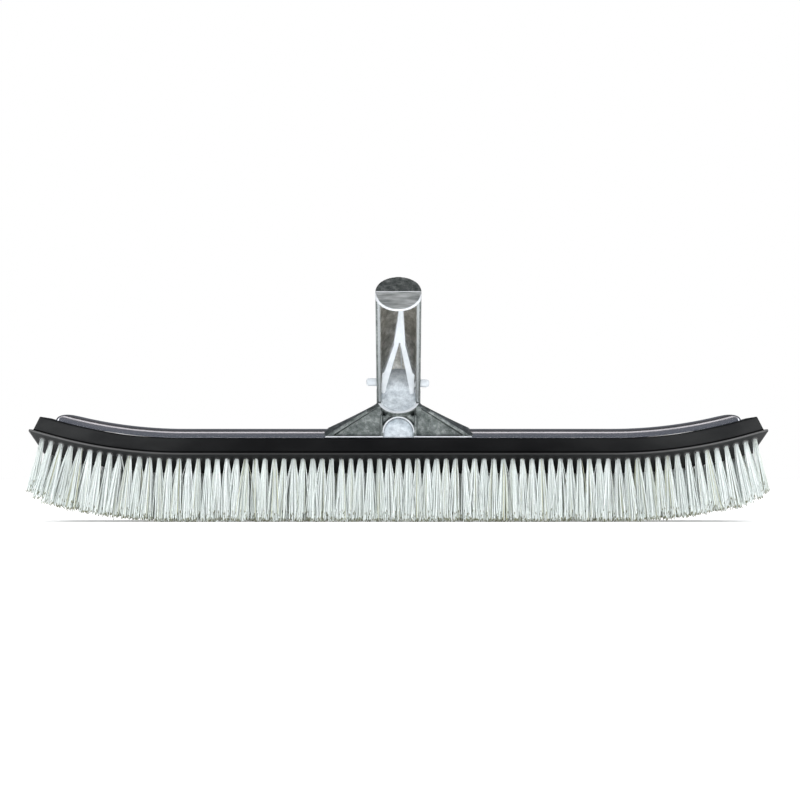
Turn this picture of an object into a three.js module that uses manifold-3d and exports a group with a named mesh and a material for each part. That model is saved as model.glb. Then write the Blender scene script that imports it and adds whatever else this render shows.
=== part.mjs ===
// Pool wall brush: a curved black block with five rows of bristle tufts, a polished
// aluminium rail on its back, and a cast aluminium handle socket that leans forward at
// 45 degrees and holds a nylon V-shaped spring clip with two snap buttons.
// Millimetres. +X runs along the brush, -Y is the side the handle leans towards, +Z is up,
// and the origin is the centre of the face that the bristle tips make.
import * as THREE from "three";
import { mergeVertices } from "three/addons/utils/BufferGeometryUtils.js";
import Module from "manifold-3d";

const wasm = await Module();
wasm.setup();

// --- Driving dimensions -------------------------------------------------------------

const GAP = 0.3; // between pieces that touch
const SLIVER = 0.01; // surface detail below this size is dropped

// The curve of the block's top: straight in the middle, an arc, then straight to the end.
const TOP_Z = 52.4;
const STRAIGHT = 135; // half the straight middle
const BEND_RADIUS = 300;
const BEND_ANGLE = THREE.MathUtils.degToRad(15.3);
const BEND_STEPS = 6;

// The block.
const BLOCK_LENGTH = 226.2; // half its top, along the curve
const BLOCK_WIDTH = 18.6; // half its top
const BLOCK_HEIGHT = 21.7;
const WALL_HEIGHT = 9.2; // top face down to the crease over the lip
const WALL_DRAFT = 1.6; // how far the wall leans out by the crease
const LIP_OUT = 3.9; // the lip's nose, beyond the top's edge
const LIP_DEPTH = 10.4; // top face down to the lip's nose
const BEVEL_IN = 11.1; // the underside bevel, from the nose in to the flat bottom
const EDGE = 0.8; // rounding of the block's edges

// The rail.
const RAIL_LENGTH = 217; // half, along the curve
const RAIL_WIDTH = 9; // half
const RAIL_HEIGHT = 6.1;
const RAIL_ROUND = 5.4; // radius over its long edges

// Bristle rows: where the row leaves the block, how far it leans out, how many tufts.
const TUFT_PITCH = 5.96;
const TUFT_ROOT = 1.5; // half a tuft's width at the block
const TUFT_MERGE = 22; // below the block, where neighbouring tufts meet
const ROW_THICKNESS = 3.4;
const OUTER_TUFTS = 75;
const INNER_TUFTS = 74; // these rows stand half a pitch off their neighbours
const MIDDLE_TUFTS = 73;
const ROWS = [
  { y: -18.2, drop: 16.8, lean: -12, tufts: OUTER_TUFTS },
  { y: -8.6, drop: BLOCK_HEIGHT, lean: -5, tufts: INNER_TUFTS },
  { y: 0, drop: BLOCK_HEIGHT, lean: 0, tufts: MIDDLE_TUFTS },
  { y: 8.6, drop: BLOCK_HEIGHT, lean: 5, tufts: INNER_TUFTS },
  { y: 18.2, drop: 16.8, lean: 12, tufts: OUTER_TUFTS },
];
const TRIM_LENGTH = 20; // over which the tips are trimmed round at each end
const TRIM_RISE = 5.8;

// The handle casting. Its spigot frame has +Z along the spigot and -Y out of the trough.
const SPIGOT_Y = -4; // a point on the spigot's axis
const SPIGOT_Z = 76.1;
const SPIGOT_LEAN = Math.PI / 4;
const SPIGOT_RADIUS = 13.95;
const SPIGOT_END = 90.2;
const BORE_RADIUS = 11.3;
const MOUTH = 4; // the trough's mouth, beyond the spigot's axis
const MOUTH_FROM = 2.2; // where its round lower rim stands
const END_PLATE = 4.2;
const END_SLANT = THREE.MathUtils.degToRad(10.5);
const SCOOP_RADIUS = 20; // the rounded wall that closes the trough's lower end
const SCOOP_Y = -25.1;
const SCOOP_Z = 85.5;
const SCOOP_FROM = 17.3;

// The casting's foot, which straddles the rail.
const FOOT_FRONT = 14.5; // half its depth
const FOOT_LENGTH = 46; // half the foot plate
const FOOT_PLATE = 1.1;
const RIDGE_HALF = 4; // half the width of the gusset's ridge
const GUSSET_TOP = 76.5; // the ridge's height where it leaves the upright
const GUSSET_LOW = 57.2; // and at its outer end
const GUSSET_INNER = 10;
const GUSSET_OUTER = 49;
const GUSSET_STEPS = 6;
const GUSSET_SAG = 0.5; // how far the ridge line bows in
const RECESS_FLOOR = 10.8;
const RIM = 1.3;
const COLUMN_HALF = 11.4;
const COLUMN_TOP = 66.6;
const ARCH_RADIUS = 9.4;
const ARCH_Z = 55.9;
const ARCH_DEEP = -7; // the pocket's leaning floor: y at its top
const ARCH_SHALLOW = -13.9; // and y at its bottom
const ARCH_RISE = 15; // between the two
const ARCH_RIM = 1.1;
const BROW_FLOOR = 12.2; // depth of the hollow between the arch's rim and the trough's rim
const BROW_TOP = 74;
const RIB_HALF = 1.5; // the rib that joins the two rims

// The clip, in the spigot frame.
const CLIP_Y = 1; // the middle of its thickness, behind the spigot's axis
const CLIP_DEPTH = 5.2;
const CLIP_TOP = 87.7;
const FLEX_X = 1.9; // where each leg flexes
const FLEX_Z = 49.3;
const FLEX_RADIUS = 1.55;
const CROWN_SIDE = [[2.8, 59], [1.6, 74], [1.5, CLIP_TOP]]; // x and z, from the flex up
const LEG_INSIDE = [[0.45, 48.6], [6.9, 14], [7.6, 8.6]]; // x and z, down to the foot
const LEG_OUTSIDE = [[10.3, 9], [10.3, 24], [8.9, 25.6]]; // back up past the pad
const LEG_FOOT = { x: 8.9, z: 8.6, radius: 1.1 };
const BUTTON_Z = 14.9;
const BUTTON_RADIUS = 2.5;
const BUTTON_ROOT = 9; // x, inside the pad
const BUTTON_TIP = 19.8;
const BUTTON_ROUND = 1.6;
const SLOT_LOW = 12.3; // centres of the round ends of the button's slot
const SLOT_HIGH = 15.1;
const SLOT_RADIUS = 3;

// Screws: the two that hold the handle and the four that hold the rail.
const HANDLE_SCREW_X = 30;
const HANDLE_SCREW_TIP = 10.2; // above the block's top
const RAIL_SCREWS = [-190, -95, 95, 190];
const RAIL_SCREW_TIP = 4.6;
const SCREW_RADIUS = 2.1;
const HEAD_RADIUS = 3.8;
const HEAD_HEIGHT = 2.4;
const HEAD_SUNK = 3.4; // from the block's bottom up to the head's seat
const RECESS_WIDTH = 1; // the cross recess in the head
const RECESS_DEPTH = 1.1;
const ROUND_STEPS = 40;
const SCREW_STEPS = 14;

// --- Materials ----------------------------------------------------------------------

const standard = (color, roughness, metalness) =>
  new THREE.MeshStandardMaterial({ color, roughness, metalness });
const MATERIALS = {
  blackPlastic: standard(0x1b1c1d, 0.45, 0),
  polishedAluminium: standard(0xb9bcc2, 0.15, 1),
  castAluminium: standard(0x8d9290, 0.5, 1),
  whiteNylon: standard(0xe8edf2, 0.4, 0),
  bristle: standard(0xdbe5e3, 0.55, 0),
  stainless: standard(0xc4c6c8, 0.3, 1),
};

// --- Helpers ------------------------------------------------------------------------

// A closed geometry as a manifold-3d solid.
function solid(geometry) {
  const bare = geometry.clone();
  bare.deleteAttribute("normal");
  bare.deleteAttribute("uv");
  const merged = mergeVertices(bare, 1e-4);
  return new wasm.Manifold(
    new wasm.Mesh({
      numProp: 3,
      vertProperties: merged.attributes.position.array,
      triVerts: new Uint32Array(merged.index.array),
    }),
  );
}

// A solid's surface as a geometry, without the slivers that joining and cutting leave.
function geometryOf(manifold) {
  const { numProp, vertProperties, triVerts } = manifold.simplify(SLIVER).getMesh();
  const count = vertProperties.length / numProp;
  const positions = new Float32Array(count * 3);
  for (let i = 0; i < count; i++)
    positions.set(vertProperties.subarray(i * numProp, i * numProp + 3), i * 3);
  const geometry = new THREE.BufferGeometry();
  geometry.setAttribute("position", new THREE.BufferAttribute(positions, 3));
  geometry.setIndex(new THREE.BufferAttribute(new Uint32Array(triVerts), 1));
  return geometry;
}

// Closed rings with the same number of points, joined in turn and capped at both ends.
// A ring's cap pairs its first point with its last, its second with its last but one.
function loft(rings) {
  const size = rings[0].length;
  const index = [];
  for (let r = 0; r + 1 < rings.length; r++)
    for (let i = 0; i < size; i++) {
      const a = r * size + i;
      const b = r * size + ((i + 1) % size);
      index.push(a, b, b + size, a, b + size, a + size);
    }
  const last = (rings.length - 1) * size;
  for (let i = 0; i + 1 < size / 2; i++) {
    const mate = size - 1 - i;
    index.push(i, mate, mate - 1, i, mate - 1, i + 1);
    index.push(last + i, last + mate - 1, last + mate, last + i, last + i + 1, last + mate - 1);
  }
  const geometry = new THREE.BufferGeometry();
  const positions = rings.flat().flatMap((p) => [p.x, p.y, p.z]);
  geometry.setAttribute("position", new THREE.Float32BufferAttribute(positions, 3));
  geometry.setIndex(index);
  return geometry;
}

// A shape drawn in the plane of X and Z, extruded from y0 to y1.
function slab(shape, y0, y1, curveSegments = 12) {
  const geometry = new THREE.ExtrudeGeometry(shape, {
    depth: y1 - y0,
    bevelEnabled: false,
    curveSegments,
  });
  return geometry.rotateX(Math.PI / 2).translate(0, y1, 0);
}

// A shape drawn in the plane of Y and Z, extruded across X from -half to half.
function crossSlab(shape, half, curveSegments = 12) {
  const geometry = new THREE.ExtrudeGeometry(shape, {
    depth: 2 * half,
    bevelEnabled: false,
    curveSegments,
  });
  return geometry.rotateY(Math.PI / 2).rotateX(Math.PI / 2).translate(-half, 0, 0);
}

const shapeOf = (points) => new THREE.Shape(points.map(([a, b]) => new THREE.Vector2(a, b)));

function rod(radius, z0, z1, steps = ROUND_STEPS) {
  return new THREE.CylinderGeometry(radius, radius, z1 - z0, steps)
    .rotateX(Math.PI / 2)
    .translate(0, 0, (z0 + z1) / 2);
}

const box = (x0, x1, y0, y1, z0, z1) =>
  new THREE.BoxGeometry(x1 - x0, y1 - y0, z1 - z0).translate(
    (x0 + x1) / 2,
    (y0 + y1) / 2,
    (z0 + z1) / 2,
  );

function mesh(name, geometry, material) {
  const made = new THREE.Mesh(geometry, material);
  made.name = name;
  return made;
}

// --- The curve that the block, the rail and the bristle rows follow --------------------

// A point at arc length s along the curve, y across it and height h above the block's top.
function onCurve(s, y, h) {
  const along = Math.abs(s);
  const side = Math.sign(s);
  const arc = Math.min(Math.max(along - STRAIGHT, 0), BEND_RADIUS * BEND_ANGLE);
  const angle = arc / BEND_RADIUS;
  const tail = along - Math.min(along, STRAIGHT) - arc;
  const radius = BEND_RADIUS - h;
  const x = Math.min(along, STRAIGHT) + radius * Math.sin(angle) + tail * Math.cos(angle);
  const z = TOP_Z + BEND_RADIUS - radius * Math.cos(angle) + tail * Math.sin(angle);
  return new THREE.Vector3(side * x, y, z);
}

// A frame at arc length s on the block's top, with +Z square to the block.
function frameOnCurve(s) {
  const arc = Math.min(Math.max(Math.abs(s) - STRAIGHT, 0), BEND_RADIUS * BEND_ANGLE);
  const turn = new THREE.Matrix4().makeRotationY((-Math.sign(s) * arc) / BEND_RADIUS);
  return turn.setPosition(onCurve(s, 0, 0));
}

// Places along the curve where its shape changes, from one end's arc to the other's.
const CURVE_STOPS = [];
for (let k = -BEND_STEPS; k <= BEND_STEPS; k++) {
  const stop = STRAIGHT + (BEND_RADIUS * BEND_ANGLE * Math.abs(k)) / BEND_STEPS;
  if (k === 0) CURVE_STOPS.push(-STRAIGHT, STRAIGHT);
  else CURVE_STOPS.push(Math.sign(k) * stop);
}

// One level of a bent bar: a rectangle with rounded corners, as a ring of points.
function barLevel(length, width, corner, h) {
  const steps = 3;
  const front = [];
  const end = (side) => {
    for (let k = 0; k <= steps; k++) {
      const turn = (Math.PI / 2) * (side < 0 ? k / steps : 1 - k / steps);
      front.push([
        side * (length - corner + corner * Math.cos(turn)),
        width - corner + corner * Math.sin(turn),
      ]);
    }
  };
  const room = (length - corner - 1 - STRAIGHT) / (BEND_RADIUS * BEND_ANGLE);
  const squeeze = Math.min(1, room); // keeps the stops inside a bar shorter than the arc
  const stop = (s) => Math.sign(s) * (STRAIGHT + (Math.abs(s) - STRAIGHT) * squeeze);
  end(-1);
  CURVE_STOPS.forEach((s) => front.push([stop(s), width]));
  end(1);
  const back = [...front].reverse();
  return [
    ...front.map(([s, y]) => onCurve(s, -y, h)),
    ...back.map(([s, y]) => onCurve(s, y, h)),
  ];
}

// --- Screws -------------------------------------------------------------------------

const SEAT = HEAD_SUNK - BLOCK_HEIGHT; // height of the screw heads' seat

// A pan head screw in the frame of the block's top, pointing up, tip at height `tip`.
function screwGeometry(tip) {
  const low = SEAT - GAP - HEAD_HEIGHT;
  const profile = [
    [0, low],
    [HEAD_RADIUS * 0.62, low],
    [HEAD_RADIUS, low + HEAD_HEIGHT * 0.55],
    [HEAD_RADIUS, SEAT - GAP],
    [SCREW_RADIUS, SEAT - GAP],
    [SCREW_RADIUS, tip - 1.2],
    [SCREW_RADIUS * 0.6, tip],
    [0, tip],
  ].map(([r, z]) => new THREE.Vector2(r, z));
  const body = new THREE.LatheGeometry(profile, SCREW_STEPS).rotateX(Math.PI / 2);
  const long = HEAD_RADIUS * 0.5;
  const wide = RECESS_WIDTH / 2;
  const arm = (x, y) => solid(box(-x, x, -y, y, low - 1, low + RECESS_DEPTH));
  return geometryOf(solid(body).subtract(arm(long, wide)).subtract(arm(wide, long)));
}

// What a screw needs cut away: its shank's clearance and its head's counterbore.
function screwHole(s, tip) {
  const shank = solid(rod(SCREW_RADIUS + GAP, -BLOCK_HEIGHT - 1, tip + 0.6, SCREW_STEPS));
  const head = solid(rod(HEAD_RADIUS + 0.5, -BLOCK_HEIGHT - 1, SEAT, SCREW_STEPS));
  return shank.add(head).transform(frameOnCurve(s).elements);
}

const SCREWS = [
  { name: "handle_screw_left", s: -HANDLE_SCREW_X, tip: HANDLE_SCREW_TIP },
  { name: "handle_screw_right", s: HANDLE_SCREW_X, tip: HANDLE_SCREW_TIP },
  ...RAIL_SCREWS.map((s, i) => ({ name: `rail_screw_${i + 1}`, s, tip: RAIL_SCREW_TIP })),
];

function drilled(made) {
  return SCREWS.reduce((part, { s, tip }) => part.subtract(screwHole(s, tip)), made);
}

// --- Block and rail -----------------------------------------------------------------

function blockGeometry() {
  const level = (out, h, corner) => barLevel(BLOCK_LENGTH + out, BLOCK_WIDTH + out, corner, h);
  const rings = [
    level(LIP_OUT - BEVEL_IN, -BLOCK_HEIGHT, 1.5),
    level(LIP_OUT - BEVEL_IN + EDGE, -BLOCK_HEIGHT + EDGE, 2),
    level(LIP_OUT - 0.4, -LIP_DEPTH - 0.9, 4.6),
    level(LIP_OUT, -LIP_DEPTH, 5),
    level(LIP_OUT - 0.5, -LIP_DEPTH + 0.8, 4.5),
    level(WALL_DRAFT, -WALL_HEIGHT, 4),
    level(0, -EDGE, 3),
    level(-EDGE, 0, 2.2),
  ];
  return geometryOf(drilled(solid(loft(rings))));
}

function railGeometry() {
  const rings = [barLevel(RAIL_LENGTH, RAIL_WIDTH, 6, GAP)];
  for (const turn of [0, 25, 50, 72, 90].map(THREE.MathUtils.degToRad)) {
    const inset = RAIL_ROUND * (1 - Math.cos(turn));
    const h = RAIL_HEIGHT - RAIL_ROUND * (1 - Math.sin(turn));
    rings.push(barLevel(RAIL_LENGTH - inset, RAIL_WIDTH - inset, 6 - inset * 0.8, h));
  }
  return geometryOf(drilled(solid(loft(rings))));
}

// --- Bristle rows -------------------------------------------------------------------

// One row as a comb: tufts that are narrow at the block and run together lower down.
function bristleRowGeometry({ y, drop, lean, tufts }) {
  const slope = Math.tan(THREE.MathUtils.degToRad(lean));
  const top = -drop - GAP;
  const last = ((tufts - 1) / 2) * TUFT_PITCH;
  const outline = [];
  for (let i = 0; i < tufts; i++) {
    const s = i * TUFT_PITCH - last;
    if (i > 0) outline.push([s - TUFT_PITCH / 2, top - TUFT_MERGE]);
    if (SCREWS.some((screw) => Math.abs(screw.s - s) < TUFT_PITCH) && y === 0) continue;
    outline.push([s - TUFT_ROOT, top], [s + TUFT_ROOT, top]);
  }
  const end = last + TUFT_ROOT;
  const trimmed = (s) => -TOP_Z + TRIM_RISE * Math.max(0, 1 - (end - s) / TRIM_LENGTH) ** 2;
  const tips = [end, end - TRIM_LENGTH * 0.3, end - TRIM_LENGTH * 0.65];
  tips.push(...CURVE_STOPS.filter((s) => s > 0 && s < end - TRIM_LENGTH * 0.8).reverse());
  tips.forEach((s) => outline.push([s, trimmed(s)]));
  [...tips].reverse().forEach((s) => outline.push([-s, trimmed(s)]));

  const bent = outline.map(([s, h]) => onCurve(s, 0, h));
  const flat = new THREE.ExtrudeGeometry(shapeOf(bent.map((p) => [p.x, p.z])), {
    depth: ROW_THICKNESS,
    bevelEnabled: false,
  });
  flat.rotateX(Math.PI / 2).translate(0, y + ROW_THICKNESS / 2, 0);
  leanRow(flat, bent, outline, slope, top);
  return flat;
}

// Moves each point of a row out in proportion to how far below the block it lies.
function leanRow(geometry, bent, outline, slope, top) {
  const place = geometry.attributes.position;
  const key = (x, z) => `${x.toFixed(2)} ${z.toFixed(2)}`;
  const below = new Map(bent.map((p, i) => [key(p.x, p.z), top - outline[i][1]]));
  for (let i = 0; i < place.count; i++)
    place.setY(i, place.getY(i) + slope * below.get(key(place.getX(i), place.getZ(i))));
}

// --- Handle casting -----------------------------------------------------------------

const SPIGOT_FRAME = new THREE.Matrix4()
  .makeRotationX(SPIGOT_LEAN)
  .setPosition(0, SPIGOT_Y, SPIGOT_Z);
const inSpigot = (geometry) => solid(geometry.applyMatrix4(SPIGOT_FRAME));

// The spigot and the upright it grows from, both round, mitred where they meet.
function spigotSolid() {
  const mitreZ = SPIGOT_Z + SPIGOT_Y;
  const foot = [];
  const mitre = [];
  const end = [];
  for (let k = 0; k < ROUND_STEPS; k++) {
    const turn = (2 * Math.PI * (k + 0.5)) / ROUND_STEPS;
    const x = SPIGOT_RADIUS * Math.cos(turn);
    const y = SPIGOT_RADIUS * Math.sin(turn);
    foot.push(new THREE.Vector3(x, y, TOP_Z + GAP));
    mitre.push(new THREE.Vector3(x, y, mitreZ + y * Math.tan(SPIGOT_LEAN / 2)));
    end.push(new THREE.Vector3(x, y, SPIGOT_END).applyMatrix4(SPIGOT_FRAME));
  }
  return solid(loft([foot, mitre, end]));
}

// The trough: the bore, closed at its lower end by the scoop, and open at the mouth.
function troughCut() {
  const bore = inSpigot(rod(BORE_RADIUS, -20, SPIGOT_END - END_PLATE));
  const upper = inSpigot(box(-20, 20, -20, 20, SCOOP_FROM, SPIGOT_END));
  const circle = new THREE.Shape().absarc(SCOOP_Y, SCOOP_Z, SCOOP_RADIUS, 0, 2 * Math.PI);
  const scoop = solid(crossSlab(circle, 20, 36));
  const mouth = inSpigot(box(-20, 20, -20, -MOUTH, MOUTH_FROM, SPIGOT_END - END_PLATE));
  return bore.intersect(upper.add(scoop)).add(mouth);
}

// What the end face's lower half loses to its slant.
function endSlantCut() {
  const far = 20;
  const cut = box(-far, far, -far, 0, 0, far).rotateX(END_SLANT);
  return inSpigot(cut.translate(0, 0, SPIGOT_END));
}

// The slot for the buttons, through both walls, and the socket for the clip's stem.
function clipCuts() {
  const slot = new THREE.Shape()
    .absarc(CLIP_Y, SLOT_LOW, SLOT_RADIUS, Math.PI, 2 * Math.PI)
    .absarc(CLIP_Y, SLOT_HIGH, SLOT_RADIUS, 0, Math.PI);
  const half = CLIP_DEPTH / 2 + GAP;
  const socket = box(-1.9, 1.9, CLIP_Y - half, CLIP_Y + half, SPIGOT_END - 6, CLIP_TOP + GAP);
  return inSpigot(crossSlab(slot, 20, 10)).add(inSpigot(socket));
}

// A gusset: a web on each side of the upright with a ridge that falls and bows outward.
function gussetSolid(side) {
  const rings = [];
  const bottom = TOP_Z + GAP;
  for (let k = 0; k <= GUSSET_STEPS; k++) {
    const f = k / GUSSET_STEPS;
    const ridgeX = GUSSET_INNER + (GUSSET_OUTER - GUSSET_INNER) * f;
    const ridgeZ = GUSSET_TOP - (GUSSET_TOP - GUSSET_LOW) * f - GUSSET_SAG * 4 * f * (1 - f);
    const frontX = GUSSET_INNER + (FOOT_LENGTH - GAP - GUSSET_INNER) * f;
    const frontZ = GUSSET_TOP - (GUSSET_TOP - bottom - FOOT_PLATE) * f;
    rings.push(
      [
        [ridgeX, -RIDGE_HALF, ridgeZ],
        [frontX, -FOOT_FRONT, frontZ],
        [frontX, -FOOT_FRONT, bottom],
        [frontX, FOOT_FRONT, bottom],
        [frontX, FOOT_FRONT, frontZ],
        [ridgeX, RIDGE_HALF, ridgeZ],
      ].map(([x, y, z]) => new THREE.Vector3(side * x, y, z)),
    );
  }
  if (side < 0) rings.reverse();
  return solid(loft(rings));
}

// The three-cornered recess in a gusset's front or back face, which leaves a rim all round.
function recessCut(side, face) {
  const low = TOP_Z + GAP + FOOT_PLATE;
  const fall = (GUSSET_TOP - low) / (FOOT_LENGTH - GAP - GUSSET_INNER);
  const reach = (GUSSET_TOP - 1.9 * RIM - low) / fall;
  const start = COLUMN_HALF - 1; // inside the column, which closes this side
  const startZ = low + (GUSSET_INNER + reach - start) * fall;
  const corner = [
    [start, low],
    [GUSSET_INNER + reach, low],
    [start, startZ],
  ].map(([x, z]) => [side * x, z]);
  const shape = shapeOf(side < 0 ? corner.reverse() : corner);
  return face < 0 ? solid(slab(shape, -20, -RECESS_FLOOR)) : solid(slab(shape, RECESS_FLOOR, 20));
}

// The arched pocket under the spigot's rim, with a floor that leans back.
function archCut() {
  const arch = new THREE.Shape()
    .moveTo(ARCH_RADIUS, TOP_Z - 1)
    .lineTo(ARCH_RADIUS, ARCH_Z)
    .absarc(0, ARCH_Z, ARCH_RADIUS, 0, Math.PI)
    .lineTo(-ARCH_RADIUS, TOP_Z - 1);
  const bottom = TOP_Z - 2;
  const above = TOP_Z + 2 * ARCH_RISE;
  const before = -2 * FOOT_FRONT;
  const behind = shapeOf([
    [ARCH_SHALLOW, bottom],
    [ARCH_DEEP, bottom + ARCH_RISE],
    [ARCH_DEEP, above],
    [before, above],
    [before, bottom],
  ]);
  return solid(slab(arch, -20, -5)).intersect(solid(crossSlab(behind, 20)));
}

// The hollow between the arch's rim and the trough's rim, with a rib left standing.
function browCut() {
  const half = COLUMN_HALF - RIM;
  const rim = new THREE.Shape().absarc(0, ARCH_Z, ARCH_RADIUS + ARCH_RIM, 0, 2 * Math.PI);
  const spigot = inSpigot(rod(SPIGOT_RADIUS, -SPIGOT_RADIUS, SPIGOT_END));
  return solid(box(-half, half, -20, -BROW_FLOOR, ARCH_Z, BROW_TOP))
    .subtract(solid(slab(rim, -21, 0)))
    .subtract(solid(box(-RIB_HALF, RIB_HALF, -21, 0, ARCH_Z, BROW_TOP)))
    .subtract(spigot);
}

// The channel that the rail runs through, with the rail's own rounded section.
function railChannel() {
  const half = RAIL_WIDTH + GAP;
  const top = TOP_Z + RAIL_HEIGHT + GAP;
  const round = RAIL_ROUND;
  const section = new THREE.Shape()
    .moveTo(-half, TOP_Z - 2)
    .lineTo(half, TOP_Z - 2)
    .lineTo(half, top - round)
    .absarc(half - round, top - round, round, 0, Math.PI / 2)
    .absarc(-half + round, top - round, round, Math.PI / 2, Math.PI);
  return solid(crossSlab(section, 60, 5));
}

function castingGeometry() {
  const low = TOP_Z + GAP;
  const column = box(-COLUMN_HALF, COLUMN_HALF, -FOOT_FRONT, FOOT_FRONT, low, COLUMN_TOP);
  const edge = FOOT_FRONT + 0.4; // the plate stands a little proud of the webs
  const plate = box(-FOOT_LENGTH, FOOT_LENGTH, -edge, edge, low, low + FOOT_PLATE);
  const sides = [-1, 1];
  const webs = sides.map(gussetSolid).reduce((a, b) => a.add(b));
  const recesses = sides.flatMap((side) => [recessCut(side, -1), recessCut(side, 1)]);
  const foot = recesses.reduce((made, cut) => made.subtract(cut), webs.add(solid(plate)));
  const spigot = spigotSolid().subtract(endSlantCut());
  const whole = spigot
    .add(foot)
    .add(solid(column))
    .subtract(browCut())
    .subtract(archCut())
    .subtract(troughCut())
    .subtract(clipCuts())
    .subtract(railChannel());
  return geometryOf(drilled(whole));
}

// --- Spring clip --------------------------------------------------------------------

// The crown: a stem that widens downward, with a round hollow over each leg's top.
function crownGeometry() {
  const hollow = FLEX_RADIUS + GAP;
  const from = THREE.MathUtils.degToRad(23);
  const to = THREE.MathUtils.degToRad(150);
  const shape = new THREE.Shape();
  shape.moveTo(FLEX_X + hollow * Math.cos(from), FLEX_Z + hollow * Math.sin(from));
  CROWN_SIDE.forEach(([x, z]) => shape.lineTo(x, z));
  [...CROWN_SIDE].reverse().forEach(([x, z]) => shape.lineTo(-x, z));
  shape
    .absarc(-FLEX_X, FLEX_Z, hollow, Math.PI - from, Math.PI - to, true)
    .absarc(FLEX_X, FLEX_Z, hollow, to, from, true);
  return slab(shape, CLIP_Y - CLIP_DEPTH / 2, CLIP_Y + CLIP_DEPTH / 2, 6);
}

// The right leg: round at its top, straight to a pad on the trough's wall, and its button.
function legSolid() {
  const shape = shapeOf(LEG_INSIDE);
  shape.absarc(LEG_FOOT.x, LEG_FOOT.z, LEG_FOOT.radius, Math.PI, 1.6 * Math.PI);
  LEG_OUTSIDE.forEach(([x, z]) => shape.lineTo(x, z));
  shape.absarc(FLEX_X, FLEX_Z, FLEX_RADIUS, -0.1, Math.PI, false);
  const leg = solid(slab(shape, CLIP_Y - CLIP_DEPTH / 2, CLIP_Y + CLIP_DEPTH / 2, 8));
  const profile = [new THREE.Vector2(0, BUTTON_ROOT), new THREE.Vector2(BUTTON_RADIUS, BUTTON_ROOT)];
  for (const turn of [0, 30, 60, 90].map(THREE.MathUtils.degToRad)) {
    const r = BUTTON_RADIUS - BUTTON_ROUND * (1 - Math.cos(turn));
    profile.push(new THREE.Vector2(r, BUTTON_TIP - BUTTON_ROUND * (1 - Math.sin(turn))));
  }
  profile.push(new THREE.Vector2(0, BUTTON_TIP));
  const button = new THREE.LatheGeometry(profile, ROUND_STEPS / 2);
  button.rotateZ(-Math.PI / 2).translate(0, CLIP_Y, BUTTON_Z);
  return leg.add(solid(button));
}

// --- The brush ----------------------------------------------------------------------

const brush = new THREE.Group();
brush.add(mesh("brush_block", blockGeometry(), MATERIALS.blackPlastic));
brush.add(mesh("back_rail", railGeometry(), MATERIALS.polishedAluminium));
brush.add(mesh("handle_casting", castingGeometry(), MATERIALS.castAluminium));
ROWS.forEach((row, i) =>
  brush.add(mesh(`bristle_row_${i + 1}`, bristleRowGeometry(row), MATERIALS.bristle)),
);
for (const { name, s, tip } of SCREWS) {
  const screw = mesh(name, screwGeometry(tip), MATERIALS.stainless);
  screw.applyMatrix4(frameOnCurve(s));
  brush.add(screw);
}

const clip = new THREE.Group();
clip.applyMatrix4(SPIGOT_FRAME);
clip.add(mesh("clip_crown", crownGeometry(), MATERIALS.whiteNylon));
const rightLeg = legSolid();
clip.add(mesh("clip_leg_right", geometryOf(rightLeg), MATERIALS.whiteNylon));
clip.add(mesh("clip_leg_left", geometryOf(rightLeg.mirror([1, 0, 0])), MATERIALS.whiteNylon));
brush.add(clip);

export default brush;
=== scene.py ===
"""The look of the pool wall brush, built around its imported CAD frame.

The scene is in metres. The sizes named below are in millimetres, and MM converts them.
"""
import math

import bmesh
import bpy
import numpy as np
from mathutils import Matrix, Vector


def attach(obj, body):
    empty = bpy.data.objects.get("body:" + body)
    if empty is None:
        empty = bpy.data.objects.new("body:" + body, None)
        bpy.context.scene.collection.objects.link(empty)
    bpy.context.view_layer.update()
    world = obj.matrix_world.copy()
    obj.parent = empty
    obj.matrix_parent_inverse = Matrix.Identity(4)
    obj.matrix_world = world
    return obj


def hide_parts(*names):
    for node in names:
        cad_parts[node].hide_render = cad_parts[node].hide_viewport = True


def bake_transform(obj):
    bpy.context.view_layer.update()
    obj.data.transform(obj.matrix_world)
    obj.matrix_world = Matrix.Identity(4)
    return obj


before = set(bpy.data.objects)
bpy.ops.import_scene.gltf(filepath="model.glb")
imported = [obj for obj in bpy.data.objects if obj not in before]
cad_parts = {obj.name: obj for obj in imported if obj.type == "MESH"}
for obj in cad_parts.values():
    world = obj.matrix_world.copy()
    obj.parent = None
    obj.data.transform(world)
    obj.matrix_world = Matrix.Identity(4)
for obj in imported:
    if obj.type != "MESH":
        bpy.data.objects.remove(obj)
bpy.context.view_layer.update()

MM = 0.001
BODY = "brush"

# --- Driving dimensions, in millimetres, as the CAD model has them ---------------------

TOP_Z = 52.4  # the block's top at its middle
STRAIGHT = 135.0  # half the straight middle
BEND_RADIUS = 300.0
BEND_ANGLE = math.radians(15.3)
BLOCK_LENGTH = 226.2  # half its top, along the curve
BLOCK_WIDTH = 18.6  # half its top
BLOCK_HEIGHT = 21.7
RAIL_LENGTH = 217.0
RAIL_WIDTH = 9.0
RAIL_HEIGHT = 6.1
RAIL_ROUND = 5.4
RAIL_CORNER = 2.2  # of its ends, seen from above
RAIL_TOE = 0.8  # how far its ends reach past that length at the bottom
RAIL_END = 2.0  # how much longer than high the rounding over its ends is
TUFT_PITCH = 5.96
TRIM_LENGTH = 20.0  # how much of each end of the rows is trimmed round
TRIM_RISE = 5.8
SPIGOT_Y = -4.0  # where the spigot's axis starts
SPIGOT_Z = 76.1
SPIGOT_LEAN = math.radians(45)
SPIGOT_RADIUS = 13.95
TROUGH_REACH = 11.8  # just past the trough's wall, which is at 11.3
SPIGOT_END = 90.2
MOUTH = 4.0  # the trough's mouth, beyond the spigot's axis
MOUTH_FROM = 2.2  # where its round lower rim stands
END_SLOPE = math.tan(math.radians(10.5))  # of the end face's lower half
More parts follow.
